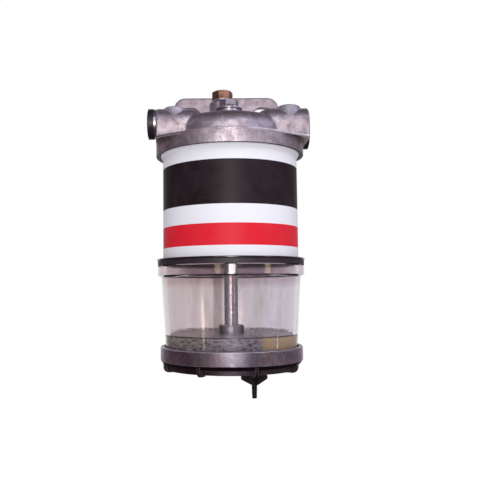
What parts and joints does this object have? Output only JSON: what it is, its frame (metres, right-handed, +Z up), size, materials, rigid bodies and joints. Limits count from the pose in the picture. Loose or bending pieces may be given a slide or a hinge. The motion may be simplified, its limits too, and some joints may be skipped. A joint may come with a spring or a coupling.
{
  "type": "fuel water separator",
  "caption": "Wall-mounted fuel filter and water separator: cast ported head, clamped filter element, clear glass bowl and cast base with a winged drain screw.",
  "frame": {"origin": "centre of the bracket's rear face, midway between the two mounting slots", "axes": "+Y square into the wall behind the bracket, +Z up along the filter's length, +X to the right as seen from the front"},
  "size_m": [0.1029, 0.0962, 0.1979],
  "materials": {
    "head_casting": "sand-grained cast finish, unpainted",
    "base_casting": "darker cast finish, unpainted",
    "zinc_steel": "zinc plated",
    "brass": "dull machined brass",
    "soft_washer": "bright turned aluminium",
    "plug_black": "semi-gloss black",
    "can_enamel": "gloss white enamel with a black and a red band",
    "plate_steel": "black coated sheet steel",
    "tinned_steel": "tinned sheet steel",
    "filter_paper": "resin-treated pleated paper",
    "seal_rubber": "matt black nitrile rubber",
    "bowl_glass": "clear moulded glass",
    "drain_plastic": "black moulded plastic"
  },
  "bodies": {
    "housing": {"filter_head": "head_casting", "centre_bolt": "zinc_steel", "centre_bolt_washer": "soft_washer", "front_left_port_plug": "plug_black", "front_left_plug_washer": "soft_washer", "rear_right_port_plug": "plug_black", "rear_right_plug_washer": "soft_washer", "head_seal_ring": "seal_rubber", "element_inner_seal": "seal_rubber", "element_can": "can_enamel", "element_top_plate": "tinned_steel", "element_bottom_plate": "plate_steel", "element_centre_tube": "tinned_steel", "pleated_paper": "filter_paper", "bowl_seal_ring": "seal_rubber", "glass_bowl": "bowl_glass", "base_seal_ring": "seal_rubber", "bowl_base": "base_casting"},
    "vent_rise": {"vent_washer": "soft_washer"},
    "vent_plug": {"vent_plug": "brass"},
    "drain_drop": {"drain_ring": "seal_rubber"},
    "drain_screw": {"drain_screw": "drain_plastic"}
  },
  "joints": [
    {"name": "vent_travel", "type": "slide", "parent": "housing", "child": "vent_rise", "axis": [0, 0, 1], "range_m": [0, 0.0025]},
    {"name": "vent_turn", "type": "hinge", "parent": "vent_rise", "child": "vent_plug", "pos_m": [-0.0035, -0.03, 0], "axis": [0, 0, 1], "range_deg": [0, 720]},
    {"name": "drain_travel", "type": "slide", "parent": "housing", "child": "drain_drop", "axis": [0, 0, -1], "range_m": [0, 0.003]},
    {"name": "drain_turn", "type": "hinge", "parent": "drain_drop", "child": "drain_screw", "pos_m": [0.0119, -0.075, -0.172], "axis": [0, 0, -1], "range_deg": [0, 720]}
  ],
  "couplings": [
    {"joint": "vent_turn", "follows": "vent_travel", "rad_per_m": 5026},
    {"joint": "drain_turn", "follows": "drain_travel", "rad_per_m": 4188}
  ]
}
